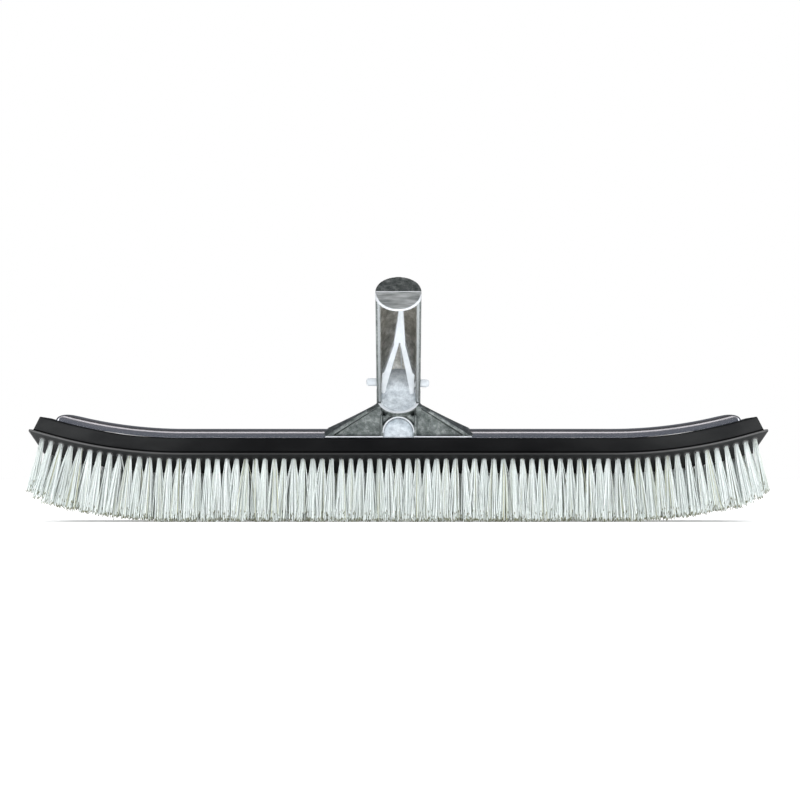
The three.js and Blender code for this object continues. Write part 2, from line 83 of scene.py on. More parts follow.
ARCH_RADIUS = 9.4  # of the pocket over the foot
ARCH_Z = 55.9
FOOT_FRONT = 14.5  # the gussets' front faces
FOOT_EDGE = 1.3  # just past the top of the foot plate's edge
SCOOP_RADIUS = 20.0  # the round wall that closes the trough's lower end
SCOOP_Y = -25.1
SCOOP_Z = 85.5
SCOOP_TOP = 17.6  # along the spigot
FLEX_Z = 49.3  # where the clip's legs flex, along the spigot
CLIP_SKEW = math.radians(1.9)  # how far the clip sits askew
CLIP_PIVOT = 28.0  # where it is turned about, along the spigot
CASTING_VOXEL = 0.4  # grain of the remeshed skins
CLIP_VOXEL = 0.22
SCREWS = [("handle_screw_left", -30), ("handle_screw_right", 30)]
SCREWS += [(f"rail_screw_{i + 1}", s) for i, s in enumerate((-190, -95, 95, 190))]

# A row: y and height at the block's surface, lean out, tufts, and how the surface faces.
ROWS = [
    {"y": -19.4, "h": -13.7, "lean": -12, "tufts": 75, "faces": (-0.713, -0.701)},
    {"y": -8.6, "h": -BLOCK_HEIGHT, "lean": -5, "tufts": 74, "faces": (0, -1)},
    {"y": 0.0, "h": -BLOCK_HEIGHT, "lean": 0, "tufts": 73, "faces": (0, -1)},
    {"y": 8.6, "h": -BLOCK_HEIGHT, "lean": 5, "tufts": 74, "faces": (0, -1)},
    {"y": 19.4, "h": -13.7, "lean": 12, "tufts": 75, "faces": (0.713, -0.701)},
]
FILAMENTS = 46  # in a tuft
FILAMENT_RADIUS = 0.24
SIDES = 3  # of a filament
SEED = 20
OUTER_LEAN = 10  # degrees, past which a row is an outer one
TUFT_ROOT = 1.25  # radius of a tuft at its hole
TUFT_FLARE = 3.3  # how much wider it is at the tips
END_SPREAD = 0.5  # the share of its outward spread that an end tuft keeps
TUFT_FOLLOW = 0.72  # how much of the block's tilt its tufts take
ROOT_DEPTH = 0.8  # how deep a filament starts in its hole
STATIONS = (0, 0.3, 0.62)  # where a filament has rings, as shares of its length
CUT_END = 2.0  # length of a filament's dark cut end, partly its own colour and partly painted shade among the tips
LOOSE_SHARE = 0.08  # of the filaments stray from their tuft
SHORT_SHARE = 0.6  # of the filaments end short
INNER_ROW_SHADE = 0.65  # the inner rows are painted darker and more olive than the outer two, a painted shade for the shadow they lie in
SHORTEST = 6.5  # how far short of the others a filament may end

# --- Camera, light and floor -----------------------------------------------------------


def make_camera():
    data = bpy.data.cameras.new("camera")
    data.sensor_width = 36
    data.lens = 85.8
    data.clip_start = 0.05
    data.clip_end = 50
    camera = bpy.data.objects.new("camera", data)
    camera.location = (0.00095, -1.213, 0.031)
    camera.rotation_euler = (math.radians(92.17), 0, 0)
    bpy.context.scene.collection.objects.link(camera)
    bpy.context.scene.camera = camera


def area_light(name, place, target, size, power, colour=(1, 1, 1)):
    data = bpy.data.lights.new(name, "AREA")
    data.shape = "RECTANGLE"
    data.size, data.size_y = size
    data.energy = power
    data.color = colour
    light = bpy.data.objects.new(name, data)
    light.location = place
    light.rotation_euler = (Vector(target) - Vector(place)).to_track_quat("-Z", "Y").to_euler()
    light.visible_camera = False
    bpy.context.scene.collection.objects.link(light)
    return light


def make_lights():
    centre = (0, 0, 0.06)
    area_light("overhead_strip", (0, -0.48, 1.3), centre, (2.6, 0.42), 3.4, (1.0, 0.95, 0.955))
    for side, word in ((-1, "left"), (1, "right")):
        place = (side * 1.05, -1.0, 0.55)
        area_light(f"side_box_{word}", place, centre, (0.7, 0.9), 4, (0.98, 0.99, 1.0))
    fill = area_light("front_fill", (0, -1.5, 0.38), centre, (1.8, 0.7), 12)
    fill.visible_glossy = False
    back = area_light("back_fill", (0, 1.6, 0.7), centre, (1.8, 0.8), 9)
    back.visible_glossy = False
    data = bpy.data.lights.new("room", "SUN")
    data.energy = 2.2
    data.angle = math.radians(100)
    room = bpy.data.objects.new("room", data)
    room.visible_glossy = False
    bpy.context.scene.collection.objects.link(room)


def make_world():
    """White to the eye; as light, a dim grey room that is darker overhead and behind."""
    world = bpy.data.worlds.new("studio")
    bpy.context.scene.world = world
    world.use_nodes = True
    tree = world.node_tree
    tree.nodes.clear()
    node = tree.nodes.new
    link = tree.links.new
    coords = node("ShaderNodeTexCoord")
    split = node("ShaderNodeSeparateXYZ")
    link(coords.outputs["Generated"], split.inputs[0])
    stops = [(0.0, (0.13, 0.14, 0.165)), (0.5, (0.17, 0.18, 0.205)), (0.8, (0.17, 0.175, 0.19))]
    stops += [(0.96, (0.10, 0.10, 0.105)), (1.0, (0.08, 0.08, 0.083))]
    room = node("ShaderNodeBackground")
    link(ramp_of(tree, split.outputs["Z"], stops), room.inputs["Color"])
    room.inputs["Strength"].default_value = 1.0
    white = node("ShaderNodeBackground")
    white.inputs["Color"].default_value = (1, 1, 1, 1)
    white.inputs["Strength"].default_value = 1.0
    path = node("ShaderNodeLightPath")
    mix = node("ShaderNodeMixShader")
    link(path.outputs["Is Camera Ray"], mix.inputs[0])
    link(room.outputs[0], mix.inputs[1])
    link(white.outputs[0], mix.inputs[2])
    out = node("ShaderNodeOutputWorld")
    link(mix.outputs[0], out.inputs["Surface"])
    bpy.context.scene.view_settings.view_transform = "Standard"


def make_floor():
    half = 6.0
    floor = mesh_object(
        "floor",
        [(-half, -half, 0), (half, -half, 0), (half, half, 0), (-half, half, 0)],
        [(0, 1, 2, 3)],
    )
    material, shader, tree = new_material("pale_floor")
    speckle = noise(tree, 120, 2)
    tint = ramp_of(tree, speckle, [(0.3, (0.93, 0.93, 0.93)), (0.7, (0.95, 0.95, 0.95))])
    tree.links.new(tint, shader.inputs["Base Color"])
    shader.inputs["Roughness"].default_value = 0.9
    shader.inputs["Specular IOR Level"].default_value = 0.0
    tree.links.new(tint, shader.inputs["Emission Color"])
    shader.inputs["Emission Strength"].default_value = 0.35  # a softly lit table
    floor.data.materials.append(material)


# --- Mesh helpers ----------------------------------------------------------------------


def mesh_object(name, points, faces):
    data = bpy.data.meshes.new(name)
    data.from_pydata([tuple(p) for p in points], [], [tuple(int(i) for i in f) for f in faces])
    data.update()
    made = bpy.data.objects.new(name, data)
    bpy.context.scene.collection.objects.link(made)
    return made


def smooth_by_angle(made, degrees=32):
    """Smooth shading, with creases kept sharp."""
    mesh = bmesh.new()
    mesh.from_mesh(made.data)
    for face in mesh.faces:
        face.smooth = True
    for edge in mesh.edges:
        edge.smooth = not (edge.is_manifold and edge.calc_face_angle() > math.radians(degrees))
    mesh.to_mesh(made.data)
    mesh.free()


def apply_modifiers(made):
    graph = bpy.context.evaluated_depsgraph_get()
    baked = bpy.data.meshes.new_from_object(made.evaluated_get(graph))
    made.modifiers.clear()
    made.data = baked


def round_over(made, voxel, passes):
    """Remeshes a piece into small voxels and softens its edges in a number of passes."""
    remesh = made.modifiers.new("skin", "REMESH")
    remesh.mode = "VOXEL"
    remesh.voxel_size = voxel * MM
    remesh.use_smooth_shade = True
    soften = made.modifiers.new("soften", "SMOOTH")
    soften.factor = 0.5
    soften.iterations = passes
    apply_modifiers(made)


def finish_piece(made, body, material, slot, *nodes):
    made.data.materials.clear()
    made.data.materials.append(material)
    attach(made, body)
    if nodes:
        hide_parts(*nodes)


def on_curve(s, y, h):
    """Points at arc length s, y across and height h above the block's top, in metres."""
    s, y, h = np.broadcast_arrays(*(np.asarray(v, float) for v in (s, y, h)))
    along = np.abs(s)
    arc = np.clip(along - STRAIGHT, 0, BEND_RADIUS * BEND_ANGLE)
    turn = arc / BEND_RADIUS
    tail = along - np.minimum(along, STRAIGHT) - arc
    radius = BEND_RADIUS - h
    x = np.minimum(along, STRAIGHT) + radius * np.sin(turn) + tail * np.cos(turn)
    z = TOP_Z + BEND_RADIUS - radius * np.cos(turn) + tail * np.sin(turn)
    return np.stack([np.sign(s) * x, y, z], -1) * MM


def frame_at(s, share=1.0):
    """Unit vectors along the curve and up from it at arc length s, with a share of its tilt."""
    turn = np.clip(abs(s) - STRAIGHT, 0, BEND_RADIUS * BEND_ANGLE) / BEND_RADIUS * np.sign(s)
    turn = turn * share
    tangent = np.array([math.cos(turn), 0, math.sin(turn)])
    up = np.array([-math.sin(turn), 0, math.cos(turn)])
    return tangent, up


def rounded_path(corners, steps=5):
    """A polyline of (a, b, radius) corners with each corner replaced by a round one."""
    path = []
    for i, (a, b, radius) in enumerate(corners):
        here = Vector((a, b))
        if radius == 0 or i in (0, len(corners) - 1):
            path.append((a, b))
            continue
        before = (Vector(corners[i - 1][:2]) - here).normalized()
        after = (Vector(corners[i + 1][:2]) - here).normalized()
        half = before.angle(after) / 2
        middle = (before + after).normalized()
        centre = here + middle * (radius / math.sin(half))
        start = here + before * (radius / math.tan(half)) - centre
        end = here + after * (radius / math.tan(half)) - centre
        sweep = start.angle_signed(end)
        for k in range(steps + 1):
            spoke = start.copy()
            spoke.rotate(Matrix.Rotation(-sweep * k / steps, 2))
            path.append(tuple(centre + spoke))
    return path


def bar_outline(length, width, corner):
    """A rectangle with round corners as (s, y) columns: its front edge, from end to end."""
    turns = np.linspace(0, math.pi / 2, 7)
    left_s = -(length - corner + corner * np.cos(turns))
    left_y = width - corner + corner * np.sin(turns)
    room = min(BEND_RADIUS * BEND_ANGLE, length - corner - 0.5 - STRAIGHT)
    arc = room * np.linspace(0, 1, 15)
    stops = np.concatenate([-(STRAIGHT + arc)[::-1], np.linspace(-110, 110, 9), STRAIGHT + arc])
    s = np.concatenate([left_s, stops, -left_s[::-1]])
    y = np.concatenate([left_y, np.full(len(stops), width), left_y[::-1]])
    return s, y


def bent_bar(name, levels):
    """A closed bar through (half length, half width, corner, height) levels, bent to the curve."""
    points = []
    for length, width, corner, h in levels:
        s, y = bar_outline(length, width, corner)
        points.append(on_curve(s, -y, h))
        points.append(on_curve(s[::-1], y[::-1], h))
    size = len(points[0]) * 2
    faces = []
    for r in range(len(levels) - 1):
        for i in range(size):
            j = (i + 1) % size
            faces.append((r * size + i, r * size + j, (r + 1) * size + j, (r + 1) * size + i))
    last = (len(levels) - 1) * size
    for i in range(size // 2 - 1):
        mate = size - 1 - i
        faces.append((i, mate, mate - 1, i + 1))
        faces.append((last + i, last + i + 1, last + mate - 1, last + mate))
    return mesh_object(name, np.concatenate(points), faces)


def revolve(profile, centre, axis, steps=16):
    """A closed ring: (radius, height) points turned about an axis through centre, in mm."""
    axis = Vector(axis).normalized()
    side = axis.orthogonal().normalized()
    other = axis.cross(side)
    points, faces = [], []
    size = len(profile)
    for k in range(steps):
        turn = 2 * math.pi * k / steps
        spoke = side * math.cos(turn) + other * math.sin(turn)
        points += [Vector(centre) + (spoke * r + axis * h) * MM for r, h in profile]
        for i in range(size):
            a, b = k * size + i, k * size + (i + 1) % size
            c, d = ((k + 1) % steps) * size + (i + 1) % size, ((k + 1) % steps) * size + i
            faces.append((a, d, c, b))
    return points, faces


# --- Materials -------------------------------------------------------------------------


def new_material(name):
    material = bpy.data.materials.new(name)
    material.use_nodes = True
    tree = material.node_tree
    return material, tree.nodes["Principled BSDF"], tree


def noise(tree, scale, detail=4, roughness=0.55, stretch=(1, 1, 1)):
    """The height of a noise pattern fixed to the piece; scale is in cells per metre."""
    coords = tree.nodes.new("ShaderNodeTexCoord")
    mapping = tree.nodes.new("ShaderNodeMapping")
    mapping.inputs["Scale"].default_value = stretch
    texture = tree.nodes.new("ShaderNodeTexNoise")
    texture.inputs["Scale"].default_value = scale
    texture.inputs["Detail"].default_value = detail
    texture.inputs["Roughness"].default_value = roughness
    tree.links.new(coords.outputs["Object"], mapping.inputs["Vector"])
    tree.links.new(mapping.outputs["Vector"], texture.inputs["Vector"])
    return texture.outputs["Fac"]


def ramp_of(tree, source, stops):
    ramp = tree.nodes.new("ShaderNodeValToRGB")
    elements = ramp.color_ramp.elements
    while len(elements) < len(stops):
        elements.new(0.5)
    for element, (place, colour) in zip(elements, stops):
        element.position = place
        element.color = (*colour, 1)
    tree.links.new(source, ramp.inputs["Fac"])
    return ramp.outputs["Color"]


def mixed(tree, factor, first, second, mode="MIX"):
    """Two colours mixed by a factor, each a socket or a constant."""
    mix = tree.nodes.new("ShaderNodeMix")
    mix.data_type = "RGBA"
    mix.blend_type = mode
    for socket, value in zip((mix.inputs[0], mix.inputs[6], mix.inputs[7]), (factor, first, second)):
        if isinstance(value, bpy.types.NodeSocket):
            tree.links.new(value, socket)
        else:
            socket.default_value = value
    return mix.outputs[2]


def remapped(tree, source, before, after, interpolation="LINEAR"):
    """A value carried from one range to another, and held at its ends."""
    spread = tree.nodes.new("ShaderNodeMapRange")
    spread.interpolation_type = interpolation
    spread.inputs["From Min"].default_value, spread.inputs["From Max"].default_value = before
    spread.inputs["To Min"].default_value, spread.inputs["To Max"].default_value = after
    tree.links.new(source, spread.inputs["Value"])
    return spread.outputs["Result"]


def in_range(tree, source, low, high):
    """The height of a noise pattern spread over low to high."""
    return remapped(tree, source, (0.25, 0.75), (low, high))


def attribute(tree, name):
    node = tree.nodes.new("ShaderNodeAttribute")
    node.attribute_name = name
    return node.outputs["Fac"]


def bump(tree, shader, height, distance, before=None):
    node = tree.nodes.new("ShaderNodeBump")
    node.inputs["Distance"].default_value = distance
    tree.links.new(height, node.inputs["Height"])
    if before:
        tree.links.new(before, node.inputs["Normal"])
    tree.links.new(node.outputs["Normal"], shader.inputs["Normal"])
    return node.outputs["Normal"]


def placed(tree, location=(0, 0, 0), lean=0.0):
    """X, Y and Z of the surface point in a frame fixed to the piece, in metres."""
    coords = tree.nodes.new("ShaderNodeTexCoord")
    mapping = tree.nodes.new("ShaderNodeMapping")
    mapping.vector_type = "TEXTURE"
    mapping.inputs["Location"].default_value = [v * MM for v in location]
    mapping.inputs["Rotation"].default_value = (lean, 0, 0)
    split = tree.nodes.new("ShaderNodeSeparateXYZ")
    tree.links.new(coords.outputs["Object"], mapping.inputs["Vector"])
    tree.links.new(mapping.outputs["Vector"], split.inputs[0])
    return [split.outputs[axis] for axis in "XYZ"]


def maths(tree, operation, *values):
    """One maths node; each value is a socket or a constant."""
    node = tree.nodes.new("ShaderNodeMath")
    node.operation = operation
    for socket, value in zip(node.inputs, values):
        if isinstance(value, bpy.types.NodeSocket):
            tree.links.new(value, socket)
        else:
            socket.default_value = value
    return node.outputs[0]


def radius_of(tree, first, second, centre=(0, 0)):
    """Distance from a centre, given in millimetres, in the plane of two coordinates."""
    offsets = [maths(tree, "SUBTRACT", v, c * MM) for v, c in zip((first, second), centre)]
    squares = [maths(tree, "POWER", v, 2.0) for v in offsets]
    return maths(tree, "SQRT", maths(tree, "ADD", *squares))


def between(tree, value, low, high):
    """1 where a value lies between low and high, in millimetres, 0 elsewhere."""
    middle, half = (low + high) / 2 * MM, (high - low) / 2 * MM
    return maths(tree, "COMPARE", value, middle, half)


def all_of(tree, *masks):
    result = masks[0]
    for mask in masks[1:]:
        result = maths(tree, "MULTIPLY", result, mask)
    return result


def away_from_middle(tree, start, end):
    """0 within start of the brush's middle, 1 beyond end, in metres along X."""
    offset = maths(tree, "ABSOLUTE", placed(tree)[0])
    return remapped(tree, offset, (start, end), (0, 1), "SMOOTHSTEP")


def black_plastic():
    """Moulded black plastic, worn by scuffing towards the ends and painted lighter there as painted
    light; painted highlights and painted shade along set lines.
    """
    material, shader, tree = new_material("black_plastic")
    cloud = noise(tree, 60, 4, stretch=(0.5, 1, 1))
    grain = noise(tree, 2600, 2)
    middle_tint = ramp_of(tree, cloud, [(0.3, (0.0025, 0.0026, 0.0028)), (0.7, (0.005, 0.0052, 0.0055))])
    scuffed_and_lit = ramp_of(tree, cloud, [(0.3, (0.013, 0.0135, 0.014)), (0.7, (0.026, 0.027, 0.027))])
    # painted light: the wall is painted lighter towards the ends, where the side lights brighten it,
    # on top of some scuffing
    toward_ends = away_from_middle(tree, 0.08, 0.225)
    tint = mixed(tree, toward_ends, middle_tint, scuffed_and_lit)
    # painted highlight colour for the lip's nose and the socket rims, lighter towards the ends
    highlighted = mixed(tree, toward_ends, (0.030, 0.031, 0.031, 1), (0.12, 0.12, 0.12, 1))
    tint = mixed(tree, attribute(tree, "painted_highlight"), tint, highlighted)
    # painted shade: near black in the crease over the lip and along the top edge under the rail
    tint = mixed(tree, attribute(tree, "painted_shade"), tint, (0.0004, 0.0004, 0.0004, 1))
    tree.links.new(tint, shader.inputs["Base Color"])
    tree.links.new(in_range(tree, cloud, 0.30, 0.40), shader.inputs["Roughness"])
    # the painted shade also takes the gloss away there
    gloss = remapped(tree, attribute(tree, "painted_shade"), (0, 1), (0.2, 0.03))
    tree.links.new(gloss, shader.inputs["Specular IOR Level"])
    bump(tree, shader, grain, 0.00002)
    return material


def polished_aluminium():
    material, shader, tree = new_material("polished_aluminium")
    lines = noise(tree, 900, 3, stretch=(0.03, 1, 1))
    cloud = noise(tree, 30, 3)
    tint = ramp_of(tree, cloud, [(0.3, (0.62, 0.63, 0.66)), (0.7, (0.70, 0.70, 0.73))])
    tree.links.new(tint, shader.inputs["Base Color"])
    tree.links.new(in_range(tree, lines, 0.13, 0.24), shader.inputs["Roughness"])
    shader.inputs["Metallic"].default_value = 1.0
    bump(tree, shader, lines, 0.000008)
    return material


def casting_masks(tree):
    """Where the casting's scoop, arched pocket, trough and end face lie."""
    x, y, z = placed(tree)
    along_x, across, along = placed(tree, (0, SPIGOT_Y, SPIGOT_Z), SPIGOT_LEAN)
    from_axis = radius_of(tree, along_x, across)
    from_scoop = radius_of(tree, y, z, (SCOOP_Y, SCOOP_Z))
    in_bore = between(tree, from_axis, 0, TROUGH_REACH)
    rim_start = TROUGH_REACH - 0.1
    scoop = all_of(
        tree,
        in_bore,
        between(tree, from_scoop, SCOOP_RADIUS - 1, SCOOP_RADIUS + 1),
        between(tree, along, -5, SCOOP_TOP),
    )
    inside_arch = between(tree, x, -ARCH_RADIUS - 0.2, ARCH_RADIUS + 0.2)
    from_arch = radius_of(tree, x, z, (0, ARCH_Z))
    under_arch = maths(
        tree,
        "MAXIMUM",
        between(tree, z, 50, ARCH_Z),
        between(tree, from_arch, 0, ARCH_RADIUS + 0.1),
    )
    arch = all_of(tree, inside_arch, under_arch, between(tree, y, -FOOT_FRONT + 0.5, -6))
    arch_rim = all_of(
        tree,
        between(tree, from_arch, ARCH_RADIUS, ARCH_RADIUS + 0.6),
        between(tree, y, -20, -FOOT_FRONT + 0.5),
        between(tree, z, ARCH_Z, 80),
    )
    trough = all_of(tree, in_bore, between(tree, along, 10, SPIGOT_END - 5))
    strips = all_of(
        tree,
        between(tree, across, -MOUTH - 0.7, -MOUTH + 0.5),
        between(tree, from_axis, rim_start, SPIGOT_RADIUS - 0.5),
    )
    foot_edge = all_of(
        tree, between(tree, z, 50, TOP_Z + FOOT_EDGE), between(tree, y, -20, -FOOT_FRONT - 0.1)
    )
    # the end face's lower half, painted lighter as painted light
    drop = maths(tree, "MULTIPLY", across, END_SLOPE)
    above = maths(tree, "SUBTRACT", along, drop)
    end_low = all_of(
        tree,
        between(tree, above, SPIGOT_END - 0.5, SPIGOT_END + 2),
        between(tree, across, -20, 0),
    )
    crescent = all_of(
        tree,
        between(tree, from_axis, SPIGOT_RADIUS - 0.3, 30),
        between(tree, along, SPIGOT_END - 4.4, SPIGOT_END),
        between(tree, across, -20, -1.5),
    )
    trough_rim = all_of(
        tree,
        between(tree, from_axis, rim_start, SPIGOT_RADIUS - 0.4),
        between(tree, along, MOUTH_FROM - 0.3, MOUTH_FROM + 0.4),
        between(tree, across, -20, -MOUTH - 0.5),
    )
    division = all_of(
        tree,
        between(tree, across, -0.25, 0.1),
        between(tree, along, SPIGOT_END - 0.6, SPIGOT_END + 2),
    )
    # glints: the crescent, the division line, the foot's edge and the two rims, painted as thin
    # highlights
    glints = crescent
    for mask in (division, foot_edge, arch_rim, trough_rim):
        glints = maths(tree, "MAXIMUM", glints, mask)
    return maths(tree, "MAXIMUM", scoop, arch), trough, strips, end_low, glints


def in_pocket_light(tree):
    """Painted shade: the scoop is painted darker at its top than at its lower rim."""
    scoop_top, scoop_rim = 97 * MM, 82 * MM
    return remapped(tree, placed(tree)[2], (scoop_top, scoop_rim), (0.3, 1.0), "SMOOTHSTEP")


def cast_aluminium():
    """Cast skin: mottled grey, with painted shade darkening its corners and crevices, its edges
    painted brighter, partly worn and partly painted highlight, and painted light in its pockets, on
    its end face and along thin glints.
    """
    material, shader, tree = new_material("cast_aluminium")
    mottle = noise(tree, 260, 6, 0.75)
    skin = noise(tree, 1100, 3)
    cuts = noise(tree, 500, 3, 0.6, (0.12, 1, 1))
    tint = ramp_of(
        tree,
        mottle,
        [(0.3, (0.09, 0.108, 0.103)), (0.5, (0.225, 0.252, 0.243)), (0.7, (0.50, 0.54, 0.525))],
    )
    pockets, trough, strips, end_low, glints = casting_masks(tree)
    blotch = ramp_of(
        tree,
        noise(tree, 180, 5, 0.7),
        [(0.32, (0.30, 0.29, 0.265)), (0.5, (0.50, 0.49, 0.455)), (0.68, (0.80, 0.785, 0.75))],
    )
    # painted light: the scoop and the arched pocket are painted a bright bluish white for the light
    # they reflect
    painted_pocket_light = ramp_of(tree, mottle, [(0.32, (0.42, 0.47, 0.51)), (0.66, (0.88, 0.94, 0.98))])
    painted_pocket_shade = in_pocket_light(tree)
    painted_pocket_light = mixed(tree, 1.0, painted_pocket_light, painted_pocket_shade, "MULTIPLY")
    # the end face's lower half: machined streaks, painted lighter as painted light where it faces the
    # overhead strip
    milled_and_lit = ramp_of(
        tree,
        cuts,
        [(0.35, (0.34, 0.375, 0.37)), (0.5, (0.58, 0.62, 0.61)), (0.68, (0.90, 0.94, 0.94))],
    )
    tint = mixed(tree, trough, tint, blotch)
    tint = mixed(tree, pockets, tint, painted_pocket_light)
    tint = mixed(tree, strips, tint, (0.16, 0.175, 0.17, 1))
    tint = mixed(tree, end_low, tint, milled_and_lit)
    form = tree.nodes.new("ShaderNodeNewGeometry")
    # painted shade: corners and crevices, found by pointiness, are painted darker
    corners = ramp_of(tree, form.outputs["Pointiness"], [(0.44, (0.2, 0.2, 0.2)), (0.493, (1, 1, 1))])
    # edges painted brighter: partly worn, partly painted highlight
    edges = ramp_of(tree, form.outputs["Pointiness"], [(0.53, (0, 0, 0)), (0.66, (1, 1, 1))])
    tint = mixed(tree, 1.0, tint, corners, "MULTIPLY")
    highlighted = mixed(tree, edges, tint, (0.50, 0.53, 0.54, 1))
    # painted highlight on the glints
    highlighted = mixed(tree, glints, highlighted, (0.74, 0.77, 0.80, 1))
    tree.links.new(highlighted, shader.inputs["Base Color"])
    tree.links.new(in_range(tree, skin, 0.36, 0.56), shader.inputs["Roughness"])
    # the painted pockets and glints are made less metallic, which keeps their painted light bright
    painted_light = maths(tree, "MAXIMUM", pockets, glints)
    metal = maths(tree, "SUBTRACT", 1.0, maths(tree, "MULTIPLY", painted_light, 0.7))
    tree.links.new(metal, shader.inputs["Metallic"])
    rough = bump(tree, shader, mottle, 0.0004)
    bump(tree, shader, skin, 0.00008, rough)
    return material


def white_nylon():
    material, shader, tree = new_material("white_nylon")
    cloud = noise(tree, 120, 3)
    tint = ramp_of(tree, cloud, [(0.3, (0.55, 0.59, 0.62)), (0.7, (0.66, 0.70, 0.73))])
    tree.links.new(tint, shader.inputs["Base Color"])
    tree.links.new(in_range(tree, cloud, 0.32, 0.45), shader.inputs["Roughness"])
    shader.inputs["Subsurface Weight"].default_value = 0.2
    shader.inputs["Subsurface Radius"].default_value = (0.0015, 0.0015, 0.0015)
    bump(tree, shader, noise(tree, 1500, 2), 0.00002)
    return material


def bristle_filament():
    """Pale filament: a few olive ones, fine streaks, inner rows painted darker as painted shade, and
    a dark cut end on each, partly its own colour and partly painted shade among the tips.
    """
    material, shader, tree = new_material("bristle_filament")
    tone_and_shade = attribute(tree, "tone_and_shade")
    body = ramp_of(
        tree,
        tone_and_shade,
        [
            (0.0, (0.56, 0.565, 0.37)),
            (0.3, (0.76, 0.82, 0.79)),
            (0.55, (0.90, 0.97, 0.96)),
            (1.0, (0.95, 1.0, 1.0)),
        ],
    )
    streak = ramp_of(tree, noise(tree, 900, 2), [(0.3, (0.88, 0.88, 0.86)), (0.7, (1, 1, 1))])
    body = mixed(tree, 1.0, body, streak, "MULTIPLY")
    # the cut ends are painted dark olive: partly their own colour, partly painted shade among the
    # tips
    shaded_end = ramp_of(tree, attribute(tree, "end"), [(0.15, (0, 0, 0)), (0.4, (1, 1, 1))])
    tree.links.new(mixed(tree, shaded_end, body, (0.20, 0.205, 0.12, 1)), shader.inputs["Base Color"])
    shader.inputs["Roughness"].default_value = 0.42
    shader.inputs["Specular IOR Level"].default_value = 0.4
    return material


def stainless_steel():
    material, shader, tree = new_material("stainless_steel")
    turned = noise(tree, 1800, 3)
    tint = ramp_of(tree, turned, [(0.3, (0.52, 0.52, 0.53)), (0.7, (0.64, 0.64, 0.65))])
    tree.links.new(tint, shader.inputs["Base Color"])
    tree.links.new(in_range(tree, turned, 0.22, 0.36), shader.inputs["Roughness"])
    shader.inputs["Metallic"].default_value = 1.0
    bump(tree, shader, turned, 0.00001)
    return material


# --- Block and rail --------------------------------------------------------------------


def make_block(material):
    section = rounded_path(
        [
            (-10.6, -BLOCK_HEIGHT, 0),
            (-7.2, -BLOCK_HEIGHT, 1.2),
            (3.9, -10.6, 0.55),
            (3.9, -9.35, 0.45),
            (1.6, -9.0, 0.35),
            (1.42, -8.1, 0),
            (0.2, -1.1, 0),
            (0.0, 0.0, 0.6),
            (-4.0, 0.0, 0),
        ]
    )
    levels = [
        (BLOCK_LENGTH + out, BLOCK_WIDTH + out, max(1.3 + 0.2 * out, 0.6), h) for out, h in section
    ]
    block = bent_bar("block", levels)
    cutters = [screw_well(s) for _, s in SCREWS]
    for cutter in cutters:
        cut = block.modifiers.new("well", "BOOLEAN")
        cut.object = cutter
        cut.operation = "DIFFERENCE"
        cut.solver = "EXACT"
    apply_modifiers(block)
    for cutter in cutters:
        bpy.data.objects.remove(cutter)
    smooth_by_angle(block)
    h = height_on_block(block)
    # painted highlight: the lip's nose is painted lighter where the overhead light catches it
    painted_highlight = np.interp(h, [-10.5, -10.2, -9.55, -9.3], [0, 1, 1, 0])
    set_attribute(block, "painted_highlight", painted_highlight)
    # painted shade in the crease over the lip and along the top edge, under the rail
    painted_shade = np.interp(h, [-9.2, -9.0, -8.6, -8.1, -0.6, -0.1], [0, 1, 1, 0, 0, 1])
    set_attribute(block, "painted_shade", painted_shade)
    finish_piece(block, BODY, material, "black_plastic", "brush_block")


def height_on_block(made):
    """Each vertex's height above the block's top face, in millimetres."""
    points = np.empty(len(made.data.vertices) * 3, np.float32)
    made.data.vertices.foreach_get("co", points)
    points = points.reshape(-1, 3) / MM
    along = np.abs(points[:, 0]) - STRAIGHT
    below = TOP_Z + BEND_RADIUS - points[:, 2]
    turn = np.clip(np.arctan2(along, below), 0, BEND_ANGLE)
    return BEND_RADIUS - along * np.sin(turn) - below * np.cos(turn)


def set_attribute(made, name, values):
    layer = made.data.attributes.new(name, "FLOAT", "POINT")
    layer.data.foreach_set("value", np.asarray(values, np.float32))


def screw_well(s):
    """The counterbore over one screw's head, as a solid to cut away."""
    _, up = frame_at(s)
    centre = on_curve(s, 0, -BLOCK_HEIGHT)
    points, faces = [], []
    steps, radius = 28, 4.3
    top, low = 3.4, -2.0
    side = Vector((0, 1, 0))
    other = Vector(up).cross(side)
    for h in (low, top):
        for k in range(steps):
            turn = 2 * math.pi * k / steps
            spoke = (side * math.cos(turn) + other * math.sin(turn)) * radius
            points.append(Vector(centre) + (spoke + Vector(up) * h) * MM)
    faces.append(tuple(range(steps))[::-1])
    faces.append(tuple(range(steps, 2 * steps)))
    for k in range(steps):
        j = (k + 1) % steps
        faces.append((k, j, steps + j, steps + k))
    return mesh_object("well", points, faces)


def make_rail(material):
    """A bar with its long edges and its ends rounded over."""
    levels = [(RAIL_LENGTH + RAIL_TOE, RAIL_WIDTH, RAIL_CORNER, 0.25)]
    for turn in np.linspace(0, math.pi / 2, 10):
        inset = RAIL_ROUND * (1 - math.cos(turn))
        h = RAIL_HEIGHT - RAIL_ROUND * (1 - math.sin(turn))
        corner = RAIL_CORNER - 0.25 * inset
        length = RAIL_LENGTH + RAIL_TOE - RAIL_END * inset
        levels.append((length, RAIL_WIDTH - inset, corner, h))
    tip = RAIL_LENGTH + RAIL_TOE - RAIL_END * RAIL_ROUND - 1
    levels.append((tip, RAIL_WIDTH - 6.5, 0.8, RAIL_HEIGHT + 0.05))
    rail = bent_bar("rail", levels)
    smooth_by_angle(rail, 40)
    finish_piece(rail, BODY, material, "polished_aluminium", "back_rail")


# --- Bristles --------------------------------------------------------------------------


